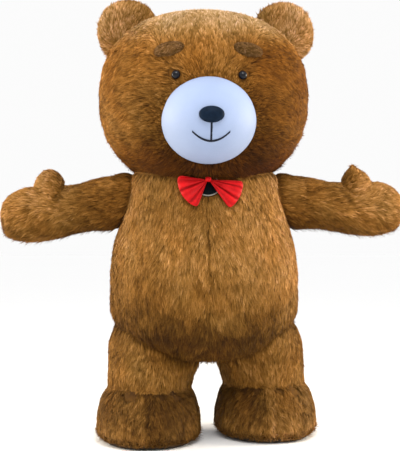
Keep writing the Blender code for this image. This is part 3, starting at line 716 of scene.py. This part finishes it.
def pile_mesh(name, corners, facings, factors, rgb, rng):
    """One mesh of all of a panel's locks."""
    count = len(corners)
    starts = np.arange(count)[:, None]
    corner_of_loop = (starts * LOCK_CORNERS + LOCK_LOOPS).astype(np.int32)
    loop_of_face = (starts * len(LOCK_LOOPS) + LOCK_FACES).astype(np.int32)
    mesh = bpy.data.meshes.new(name)
    mesh.vertices.add(count * LOCK_CORNERS)
    mesh.vertices.foreach_set("co", corners.astype(np.float32).ravel())
    mesh.loops.add(count * len(LOCK_LOOPS))
    mesh.loops.foreach_set("vertex_index", corner_of_loop.ravel())
    mesh.polygons.add(count * len(LOCK_FACES))
    mesh.polygons.foreach_set("loop_start", loop_of_face.ravel())
    mesh.update(calc_edges=True)
    mesh.shade_smooth()
    strand = np.empty((count, LOCK_CORNERS, 2))
    strand[:, :, 0] = LOCK_ACROSS[None] + rng.integers(0, STRAND_ROWS, count)[:, None]
    strand[:, :, 1] = LOCK_ALONG[None]
    write_uv(mesh, "strand", strand)
    write_uv(mesh, "OFBake", lock_cells(count))
    # the pile's colour carries painted light and shade from the tone, the clumps and the roots
    write_colours(mesh, "pile", rgb * deepened(factors[:, None] * ROOT_SHADE_TIP_LIGHT[None, :, None]))
    mesh.normals_split_custom_set_from_vertices(unit(facings).reshape(-1, 3).tolist())
    return mesh


# ================================================================ materials
WAVE = pi / 10  # how far apart a wave pattern's bands are at a scale of 1


def socket_name(key):
    """specular_ior_level as Specular IOR Level."""
    return key.replace("_", " ").title().replace("Ior", "IOR")


class Nodes:
    """A node tree that is built by short calls."""

    def __init__(self, tree):
        self.nodes = tree.nodes
        self.links = tree.links

    def put(self, socket, value):
        if isinstance(value, bpy.types.NodeSocket):
            self.links.new(value, socket)
        elif socket.type == "RGBA":
            socket.default_value = (*value, 1.0)[:4]
        else:
            socket.default_value = value

    def add(self, kind, values, output=0, **options):
        """A node's output, once its options are set and its sockets are filled."""
        node = self.nodes.new("ShaderNode" + kind)
        for option, value in options.items():
            setattr(node, option, value)
        for socket, value in values.items():
            self.put(node.inputs[socket], value)
        return node.outputs[output]

    def fit(self, value, low, high, new_low, new_high):
        """A value from low to high spread from new_low to new_high."""
        ends = {"From Min": low, "From Max": high, "To Min": new_low, "To Max": new_high}
        return self.add("MapRange", {"Value": value, **ends})


class Finish(Nodes):
    """A node material."""

    def __init__(self, name, **sockets):
        self.material = bpy.data.materials.new(name)
        self.material.use_nodes = True
        super().__init__(self.material.node_tree)
        self.shader = self.nodes["Principled BSDF"]
        for key, value in sockets.items():
            self.put(self.shader.inputs[socket_name(key)], value)
        self.places = self.add("TexCoord", {}, "Object")

    def noise(self, scale, detail=2.0, roughness=0.5, at=None):
        values = {"Vector": at or self.places, "Scale": scale, "Detail": detail, "Roughness": roughness}
        return self.add("TexNoise", values)

    def wave(self, scale, distortion=0.0, direction="X", detail=2.0):
        values = {"Vector": self.places, "Scale": scale, "Distortion": distortion, "Detail": detail}
        return self.add("TexWave", values, bands_direction=direction)

    def mapped(self, vector, scale):
        return self.add("Mapping", {"Vector": vector, "Scale": scale})

    def swing(self, noise, new_low, new_high):
        """A noise's usual reach spread from new_low to new_high."""
        return self.fit(noise, 0.3, 0.7, new_low, new_high)

    def times(self, first, second):
        return self.add("Math", {0: first, 1: second}, operation="MULTIPLY")

    def mixed(self, first, second, factor, blend_type="MIX"):
        values = {0: factor, 6: first, 7: second}
        return self.add("Mix", values, 2, data_type="RGBA", blend_type=blend_type)

    def tinted(self, base, light):
        """A colour times a grey factor."""
        grey = self.add("CombineColor", {"Red": light, "Green": light, "Blue": light})
        return self.mixed(base, grey, 1.0, "MULTIPLY")

    def bump(self, height, distance, strength):
        values = {"Height": height, "Distance": distance, "Strength": strength}
        self.put(self.shader.inputs["Normal"], self.add("Bump", values))

    def done(self, base, roughness):
        self.put(self.shader.inputs["Base Color"], base)
        self.put(self.shader.inputs["Roughness"], roughness)
        return self.material

    def mottled(self, rgb, patch, light, roughness):
        """The finish done, its lightness and roughness spread by one noise."""
        return self.done(self.tinted(rgb, self.swing(patch, *light)), self.swing(patch, *roughness))


def pile_finish(name):
    """Acrylic fibres: fine streaks along each lock, and soft patches over the whole suit."""
    sheen = {"sheen_weight": 0.06, "sheen_roughness": 0.4, "sheen_tint": (1.0, 0.66, 0.36)}
    finish = Finish(name, specular_ior_level=0.12, **sheen)
    strand = finish.mapped(finish.add("UVMap", {}, uv_map="strand"), (3.1, 0.55, 1.0))
    streak = finish.noise(1.6, 3.0, 0.65, at=strand)
    patch = finish.noise(9.0, 3.0, 0.6)
    tint = finish.add("Attribute", {}, "Color", attribute_name="pile")
    light = finish.times(finish.swing(streak, 0.78, 1.20), finish.swing(patch, 0.90, 1.10))
    return finish.done(finish.tinted(tint, light), finish.swing(streak, 0.62, 0.80))


def backing_finish(name):
    """Knitted cloth under the pile, in the pile's own colours but darker."""
    finish = Finish(name, specular_ior_level=0.2)
    patch = finish.noise(60.0, 3.0, 0.6)
    finish.bump(finish.wave(170.0, 1.5, detail=1.0), 0.0006, 0.5)
    tint = finish.add("Attribute", {}, "Color", attribute_name="pile")
    return finish.mottled(tint, patch, (0.7, 1.2), (0.85, 0.95))


def muzzle_finish(name, rgb):
    """Stretched jersey: a fine rib, and a little wear in soft patches."""
    finish = Finish(name, sheen_weight=0.05, sheen_roughness=0.4, specular_ior_level=0.25)
    weave = finish.times(finish.wave(210.0, 0.8), finish.wave(190.0, 0.8, "Z"))
    patch = finish.noise(7.0, 4.0, 0.6)
    finish.bump(weave, 0.0004, 0.35)
    light = finish.times(finish.swing(patch, 0.97, 1.03), finish.fit(weave, 0, 1, 0.985, 1.01))
    return finish.done(finish.tinted(rgb, light), finish.swing(patch, 0.50, 0.60))


def satin_finish(name, rgb):
    """Satin: long floats give a streaked gloss, and the pleats' valleys are darker."""
    sheen = {"sheen_weight": 0.01, "sheen_roughness": 0.28, "sheen_tint": (1.0, 0.25, 0.22)}
    finish = Finish(name, specular_ior_level=0.09, anisotropic=0.45, **sheen)
    float_lines = finish.noise(1.0, at=finish.mapped(finish.places, (30.0, 30.0, 900.0)))
    patch = finish.noise(28.0, 3.0)
    fold = finish.add("Attribute", {}, "Fac", attribute_name="fold")
    finish.bump(float_lines, 0.0003, 0.4)
    light = finish.times(finish.swing(float_lines, 0.92, 1.08), finish.swing(patch, 0.82, 1.12))
    # painted shade in the pleats' valleys, a little painted light on their ridges
    light = finish.times(light, finish.fit(fold, 0.0, 0.75, 1.08, 0.52))
    return finish.done(finish.tinted(rgb, light), finish.swing(patch, 0.40, 0.52))


def nose_finish(name, rgb):
    """Dull vinyl with a fine grain."""
    finish = Finish(name, specular_ior_level=0.05)
    patch = finish.noise(40.0, 3.0)
    finish.bump(finish.add("TexVoronoi", {"Vector": finish.places, "Scale": 420.0}), 0.0005, 0.4)
    return finish.mottled(rgb, patch, (0.75, 1.3), (0.42, 0.58))


def eye_finish(name, rgb):
    """Glossy moulded plastic, a little hazed by handling."""
    finish = Finish(name, specular_ior_level=0.25)
    haze = finish.noise(90.0, 4.0)
    return finish.mottled(rgb, haze, (0.8, 1.4), (0.08, 0.16))


def thread_finish(name, rgb):
    """Twisted sewing thread."""
    finish = Finish(name, specular_ior_level=0.12)
    twist = finish.wave(900.0, 1.0, "DIAGONAL")
    finish.bump(twist, 0.0003, 0.6)
    base = finish.tinted(rgb, finish.fit(twist, 0, 1, 0.7, 1.5))
    return finish.done(base, finish.fit(twist, 0, 1, 0.55, 0.75))


def net_finish(name, rgb, pitch):
    """Dense net: threads with darker holes between them."""
    finish = Finish(name, specular_ior_level=0.06)
    across, down = finish.wave(WAVE / pitch), finish.wave(WAVE / pitch, direction="Z")
    thread = finish.add("Math", {0: across, 1: down}, operation="MAXIMUM")
    finish.bump(thread, 0.0006, 0.8)
    base = finish.tinted(rgb, finish.fit(thread, 0.6, 1, 0.35, 2.2))
    return finish.done(base, finish.fit(thread, 0, 1, 0.9, 0.6))


def tape_finish(name, rgb):
    """Woven cotton tape."""
    finish = Finish(name, specular_ior_level=0.3, sheen_weight=0.15)
    rib = finish.wave(260.0, 0.6, "DIAGONAL")
    soil = finish.noise(45.0, 4.0)
    finish.bump(rib, 0.0004, 0.6)
    light = finish.times(finish.fit(rib, 0, 1, 0.85, 1.05), finish.swing(soil, 0.8, 1.05))
    return finish.done(finish.tinted(rgb, light), finish.swing(soil, 0.75, 0.9))


def sole_finish(name, rgb):
    """Foam rubber, scuffed paler in patches."""
    finish = Finish(name, specular_ior_level=0.35)
    scuff = finish.noise(14.0, 6.0, 0.7)
    finish.bump(finish.noise(320.0), 0.0008, 0.5)
    pale = finish.mixed(rgb, (0.16, 0.13, 0.10), finish.fit(scuff, 0.52, 0.75, 0.0, 0.7))
    return finish.done(pale, finish.swing(scuff, 0.7, 0.92))


def floor_finish(name, rgb):
    """Pale studio floor."""
    finish = Finish(name, specular_ior_level=0.2)
    speck = finish.noise(3.0, 3.0)
    return finish.mottled(rgb, speck, (0.995, 1.0), (0.88, 0.90))


# ================================================================ pieces
def placed(name, data):
    """Links an object of the data to the scene."""
    thing = bpy.data.objects.new(name, data)
    bpy.context.scene.collection.objects.link(thing)
    return thing


def finished(name, mesh, material, slot, node=None):
    """Places a mesh as a piece of the suit that stands for a node, of its own name if none is given."""
    mesh.materials.append(material)
    thing = placed(name, mesh)
    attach(thing, "root")
    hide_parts(node or name)
    return thing


def to_mesh(name, shape, sharp=radians(42)):
    """A bmesh as a mesh, smooth but for its sharp edges."""
    shape.normal_update()
    for face in shape.faces:
        face.smooth = True
    for edge in shape.edges:
        edge.smooth = edge.is_boundary or edge.calc_face_angle(0.0) < sharp
    mesh = bpy.data.meshes.new(name)
    shape.to_mesh(mesh)
    shape.free()
    return mesh


def remade(node, longest, material, slot):
    """A finer make of a node's own solid."""
    shape = merged_copy(node)
    refine(shape, longest)
    return finished(node, to_mesh(node, shape), material, slot)


def backing(form, panel):
    """A panel's cloth: its solid, a little inside the pile's surface, with the form's creases."""
    shape = merged_copy(panel)
    refine(shape, CLOTH_EDGE)
    moved = {corner for face in shown_faces(shape, form) for corner in face.verts}
    places, _ = places_and_normals(shape.verts)
    for corner, depth, away in zip(shape.verts, pressed_in(places, form.key), outward(places, form)):
        if corner in moved:
            corner.co -= corner.normal * (depth + settings("plush").backing_depth)
        else:
            corner.co -= Vector(away) * depth
    return to_mesh(panel, shape)


def dress(keys):
    """Makes the backing and pile of forms."""
    plush = settings("plush")
    tree = shared("tree", suit_tree)
    cloth = shared("backing", lambda: backing_finish("plush_backing"))
    pile = shared("pile", lambda: pile_finish("plush_pile"))
    for key in keys:
        form = FORMS[key]
        kind = key.split("_")[0]
        rgb = np.array({"foot": plush.foot, "brow": plush.brow}.get(kind, plush.body))
        density = plush.density * (BROW_DENSITY if kind == "brow" else 1.0) / sqrt(form.length)
        for index, panel in enumerate(form.panels):
            rng = np.random.default_rng(plush.seed + SEED_STEP * list(FORMS).index(key) + index)
            roots, normals = skin(key).scatter(index, density, rng)
            corners, facings, shade = make_locks(form, roots, normals, tree, rng)
            seen = (corners[:, 1] + corners[:, 3]) / 2
            # each lock's colour factors: its tone, with painted light and shade
            factors = tone_and_painted_light(seen, facings[:, 0], kind) * shade[:, None]
            mesh = pile_mesh(panel + "_pile", corners, facings, factors, rgb, rng)
            locks = finished(panel + "_pile", mesh, pile, form.slot, panel)
            mesh = backing(form, panel)
            places, normals = places_and_normals(mesh.vertices)
            # the cloth's colour: the pile's tone with its painted light and shade, darker as painted
            # shade under the locks
            write_colours(mesh, "pile", rgb * deepened(tone_and_painted_light(places, normals, kind) * plush.backing))
            base = finished(panel, mesh, cloth, form.slot)


_made = {}


def shared(key, make):
    """What make gives, made once."""
    if key not in _made:
        _made[key] = make()
    return _made[key]


def skin(key):
    return shared("skin " + key, lambda: Skin(FORMS[key]))


def tree_of(parts):
    """One tree of several meshes, each given as its places and its faces."""
    places, faces = [], []
    for corners, shapes in parts:
        faces += [[len(places) + corner for corner in shape] for shape in shapes]
        places += corners
    return BVHTree.FromPolygons(places, faces)


def suit_tree():
    """The outer side of all the plush, with the pads that stand on it."""
    parts = [skin(key) for key in FORMS]
    return tree_of((part.places.tolist(), part.triangles.tolist()) for part in parts)


ON_OVAL = 0.9  # points further out than this share of an oval are on it


def rounded(node, middle, half, longest, keep=None):
    """A finer make of a node that is cut from an oval: its outer points go out to the oval."""
    shape = merged_copy(node)
    if keep is not None:
        hidden = [face for face in shape.faces if not keep(face)]
        bmesh.ops.delete(shape, geom=hidden, context="FACES")
    refine(shape, longest)
    for corner in shape.verts:
        off = Vector((corner.co[i] - middle[i]) / half[i] for i in range(3))
        if off.length > ON_OVAL:
            for i in range(3):
                corner.co[i] = middle[i] + (corner.co[i] - middle[i]) / off.length
    return shape


def domed(node, depth, longest, material, slot):
    """A finer make of a node that is the front half of an oval, which is depth deep."""
    low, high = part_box(node)
    middle = ((low.x + high.x) / 2, low.y + depth, (low.z + high.z) / 2)
    half = ((high.x - low.x) / 2, depth, (high.z - low.z) / 2)
    return finished(node, to_mesh(node, rounded(node, middle, half, longest)), material, slot)


# The muzzle's oval, as its solid is cut from it.
OVAL_MIDDLE = (0.0, -0.375, 0.426)
OVAL_HALF = (0.279, 0.295, 0.258)
MUZZLE_WALL = 0.003
MUZZLE_FRONT = 0.4  # a face that points out of the oval by more than this is on the outer side
# Puckers under the nose: how high each lies and how far it reaches across.
PUCKERS = ((0.362, 0.10), (0.342, 0.16), (0.322, 0.13), (0.300, 0.20), (0.284, 0.15), (0.268, 0.12))
PUCKER_DEPTH = 0.0022
PUCKER_WIDTH = 0.0034
PUCKER_FALL = 0.018  # how far its ends lie below its middle


def make_muzzle():
    """The jersey, drawn into short puckers along the seam under the nose."""

    def front(face):
        away = face.calc_center_median() - Vector(OVAL_MIDDLE)
        scaled = Vector(away[i] / OVAL_HALF[i] ** 2 for i in range(3))
        return face.normal.dot(scaled.normalized()) > MUZZLE_FRONT

    shape = rounded("muzzle", OVAL_MIDDLE, OVAL_HALF, 0.016, keep=front)
    for corner in shape.verts:
        if corner.co.y < OVAL_MIDDLE[1]:
            for height, reach in PUCKERS:
                run = abs(corner.co.x) / (reach * 0.5)
                off = (corner.co.z - height + PUCKER_FALL * run) / PUCKER_WIDTH
                corner.co.y += PUCKER_DEPTH * exp(-(off**2) - run * run * 2.2)
    material = muzzle_finish("muzzle_jersey", settings("face").muzzle)
    piece = finished("muzzle", to_mesh("muzzle", shape), material, "muzzle_cloth")
    wall = piece.modifiers.new("wall", "SOLIDIFY")
    wall.thickness = MUZZLE_WALL
    wall.offset = -1.0


def make_nose():
    material = nose_finish("nose_vinyl", settings("face").nose)
    domed("nose", 0.030, 0.008, material, "nose_vinyl")


def make_mouth():
    remade("mouth_line", 0.006, thread_finish("mouth_thread", settings("face").thread), "mouth_thread")


def make_eyes():
    material = eye_finish("eye_gloss", settings("face").eye)
    for side in SIDES:
        domed(f"eye_{side}", 0.024, 0.005, material, "eye_gloss")


def make_window():
    trim = settings("trim")
    net = net_finish("window_net", trim.net, trim.net_pitch)
    tape = tape_finish("binding_tape", trim.tape)
    remade("neck_window", 0.012, net, "window_net")
    remade("window_binding", 0.012, tape, "binding_tape")


def make_soles():
    material = sole_finish("sole_foam", settings("trim").sole)
    for side in SIDES:
        remade(f"sole_{side}", 0.05, material, "sole")


# A lobe of the bow is a fan whose point is at the knot, cut across its length: how far out and how
# far open it is, as shares of its own, and half its puff.
LOBE = (
    (0.00, 0.00, 0.000), (0.07, 0.85, 0.009), (0.30, 0.97, 0.015), (0.60, 1.00, 0.019),
    (0.84, 1.00, 0.018), (0.94, 0.97, 0.013), (0.985, 0.88, 0.007), (1.00, 0.00, 0.000),
)
# Each lobe's length, half the angle that it opens to and how far it hangs below level, in radians.
FANS = {"right": (0.172, 0.66, 0.53), "left": (0.202, 0.46, 0.50)}
# Pleats run out from the knot: where round the lobe each lies, its breadth and its share of depth.
PLEATS = (
    (-0.84, 0.20, 0.42), (-0.22, 0.10, 0.78), (0.20, 0.20, 0.30), (0.62, 0.11, 0.66), (1.12, 0.14, 0.50),
)
KNOT_HEIGHT = 0.090
KNOT_DEPTH = 0.025
BOW_CLEAR = 0.0006  # between the bow and the chest


def profile(table):
    """A function from 0..1 to the row at that share of the smooth outline through the table."""
    rows = np.array(table)
    knots = np.cumsum(np.append(0.0, np.linalg.norm(np.diff(rows, axis=0), axis=1) ** 0.5))
    places = np.linspace(0, knots[-1], 400)
    slopes = np.gradient(rows, knots, axis=0)
    spans = np.clip(np.searchsorted(knots, places, side="right") - 1, 0, len(knots) - 2)
    width = (knots[spans + 1] - knots[spans])[:, None]
    share = (places - knots[spans])[:, None] / width
    curve = (
        (2 * share**3 - 3 * share**2 + 1) * rows[spans]
        + (share**3 - 2 * share**2 + share) * width * slopes[spans]
        + (3 * share**2 - 2 * share**3) * rows[spans + 1]
        + (share**3 - share**2) * width * slopes[spans + 1]
    )
    along = np.cumsum(np.append(0.0, np.linalg.norm(np.diff(curve, axis=0), axis=1)))

    def at(part):
        return [float(np.interp(part * along[-1], along, column)) for column in curve.T]

    return at


def chest_tree():
    """The chest and the window as one surface, to seat the bow."""
    nodes = ("body_front_right", "body_front_left", "neck_window", "window_binding")
    meshes = [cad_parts[node].data for node in nodes]
    return tree_of(
        ([corner.co.copy() for corner in mesh.vertices], [face.vertices for face in mesh.polygons])
        for mesh in meshes
    )


def placed_sphere(around, along, place):
    """A closed mesh whose points place gives from a share of the length and a turn round it."""
    shape = bmesh.new()
    bmesh.ops.create_uvsphere(shape, u_segments=around, v_segments=along, radius=1.0)
    for corner in shape.verts:
        x, y, z = corner.co
        corner.co = place(round(acos(min(max(z, -1.0), 1.0)) / pi * along) / along, atan2(y, x))
    bmesh.ops.recalc_face_normals(shape, faces=shape.faces)
    return shape


def make_bow():
    material = satin_finish("red_satin", settings("trim").satin)
    tree = chest_tree()
    at = profile(LOBE)

    def front_of_chest(x, z):
        hit = tree.ray_cast(Vector((x, -3.0, z)), Vector((0, 1, 0)))[0]
        if hit is None:  # through the narrow gap of a seam
            hit = tree.find_nearest(Vector((x, MUZZLE_MIDDLE[1], z)))[0]
        return hit.y - KNOT_DEPTH - BOW_CLEAR

    for side, sign in SIDES.items():
        reach, spread, droop = FANS[side]
        folds = []

        def place(part, turn):
            out, fan, deep = at(part)
            facing = sign * copysign(1, -cos(turn))
            angle = atan2(sin(turn), abs(cos(turn)))
            fold = sum(depth * bell((angle - facing * lie) / breadth) for lie, breadth, depth in PLEATS)
            fold *= min(part * 4, 1.0, max(0.90 - part, 0.0) * 4)
            folds.append(fold)
            fall = droop - spread * fan * sin(turn)
            x = sign * reach * out * cos(fall)
            z = KNOT_HEIGHT - reach * out * sin(fall)
            return Vector((x, front_of_chest(x, z) + deep * 1.2 * (1 - fold) * cos(turn), z))

        node = f"bow_{side}"
        mesh = to_mesh(node, placed_sphere(96, 40, place), pi)
        # the pleats' depth, which the satin reads for its painted shade
        write_colours(mesh, "fold", np.stack([folds] * 3, 1))
        finished(node, mesh, material, "red_satin")
    remade("bow_knot", 0.012, material, "red_satin")


# ================================================================ stage
def lamp(name, place, aim, size, watts, rgb):
    light = bpy.data.lights.new(name, "AREA")
    light.shape = "DISK"
    light.size = size
    light.energy = watts
    light.color = rgb
    thing = placed(name, light)
    thing.location = place
    thing.rotation_euler = (Vector(aim) - Vector(place)).to_track_quat("-Z", "Y").to_euler()


def make_stage():
    stage = settings("stage")
    shape = bmesh.new()
    bmesh.ops.create_grid(shape, x_segments=1, y_segments=1, size=40.0)
    bmesh.ops.translate(shape, verts=shape.verts, vec=(0.0, 0.0, FLOOR))
    mesh = bpy.data.meshes.new("floor")
    shape.to_mesh(mesh)
    shape.free()
    mesh.materials.append(floor_finish("pale_floor", stage.floor))
    placed("floor", mesh)
    data = bpy.data.cameras.new("camera")
    data.sensor_fit = "HORIZONTAL"
    data.sensor_width = 36.0
    data.lens = stage.lens
    data.shift_x = stage.shift
    camera = placed("camera", data)
    back, left = stage.distance * cos(stage.turn), stage.distance * sin(stage.turn)
    camera.location = (-left, -back, FLOOR + stage.height)
    camera.rotation_euler = (pi / 2, 0.0, -stage.turn)
    bpy.context.scene.camera = camera
    lamp("key_lamp", (0.3, -3.6, 4.4), (0.0, 0.0, 0.1), 2.6, stage.key, (1.0, 0.97, 0.93))
    for side, sign in SIDES.items():
        place = (sign * 4.0, 0.2, 0.8)
        lamp(f"rim_lamp_{side}", place, (0.0, 0.0, -0.2), 1.8, stage.rim, (1.0, 0.86, 0.66))
    studio = bpy.data.worlds.new("studio")
    studio.use_nodes = True
    tree = Nodes(studio.node_tree)
    height = tree.add("SeparateXYZ", {"Vector": tree.add("TexCoord", {}, "Generated")}, "Z")
    light = tree.nodes["Background"].inputs
    tree.put(light["Color"], (1.0, 1.0, 1.0))
    tree.put(light["Strength"], tree.fit(height, 0.25, 1.0, stage.haze, stage.sky))
    bpy.context.scene.world = studio
    bpy.context.scene.view_settings.view_transform = "Standard"


# ================================================================ operators
class Maker:
    """What the suit's operators share."""

    bl_options = {"REGISTER", "UNDO"}

    def execute(self, context):
        self.make()
        return {"FINISHED"}


def piece_operator(name, doc, make):
    """An operator that makes one piece or group of like pieces."""
    labels = {"bl_idname": "bear." + name, "bl_label": name.title()}
    parts = {"__doc__": doc, "make": staticmethod(make), **labels}
    return type("BEAR_OT_" + name, (Maker, bpy.types.Operator), parts)


def dresser(*keys):
    return lambda: dress(keys)


ARMS = ("arm_right", "arm_left", "thumb_right", "thumb_left")
OPERATORS = (
    piece_operator("stage", "Camera, floor and lamps", make_stage),
    piece_operator("muzzle", "Stretched jersey over the muzzle", make_muzzle),
    piece_operator("nose", "Padded nose", make_nose),
    piece_operator("mouth", "Stitched mouth line", make_mouth),
    piece_operator("eyes", "Glossy domed eyes", make_eyes),
    piece_operator("window", "Net and tape at the neck", make_window),
    piece_operator("soles", "Flat foam soles", make_soles),
    piece_operator("bow", "Pleated lobes and knot", make_bow),
    piece_operator("trunk", "Fronts and backs of the trunk", dresser("trunk")),
    piece_operator("head", "Cheeks, crown and backs of the head", dresser("head")),
    piece_operator("ears", "Fronts and backs of the ears", dresser("ear_right", "ear_left")),
    piece_operator("brows", "Brow pads", dresser("brow_right", "brow_left")),
    piece_operator("arms", "Sleeves with mittens", dresser(*ARMS)),
    piece_operator("legs", "Fronts and backs of the legs", dresser("leg_right", "leg_left")),
    piece_operator("feet", "Halves of the feet", dresser("foot_right", "foot_left")),
)


class BEAR_PT_costume(bpy.types.Panel):
    """The suit's settings and pieces."""

    bl_label = "Bear Costume"
    bl_idname = "BEAR_PT_costume"
    bl_space_type = "VIEW_3D"
    bl_region_type = "UI"
    bl_category = "Bear"

    def draw(self, context):
        layout = self.layout
        for kind in GROUPS:
            box = layout.box()
            box.label(text=kind.title())
            for name in GROUPS[kind].__annotations__:
                box.prop(settings(kind), name)
        for operator in OPERATORS:
            layout.operator(operator.bl_idname)


GROUPS = {"plush": PlushSettings, "face": FaceSettings, "trim": TrimSettings, "stage": StageSettings}


def register():
    for kind, group in GROUPS.items():
        bpy.utils.register_class(group)
        setattr(bpy.types.Scene, "bear_" + kind, PointerProperty(type=group))
    for operator in OPERATORS:
        bpy.utils.register_class(operator)
    bpy.utils.register_class(BEAR_PT_costume)


def unregister():
    bpy.utils.unregister_class(BEAR_PT_costume)
    for operator in reversed(OPERATORS):
        bpy.utils.unregister_class(operator)
    for kind, group in GROUPS.items():
        delattr(bpy.types.Scene, "bear_" + kind)
        bpy.utils.unregister_class(group)


def main():
    register()
    for operator in OPERATORS:
        getattr(bpy.ops.bear, operator.bl_idname.split(".")[1])()


if __name__ == "__main__":
    main()
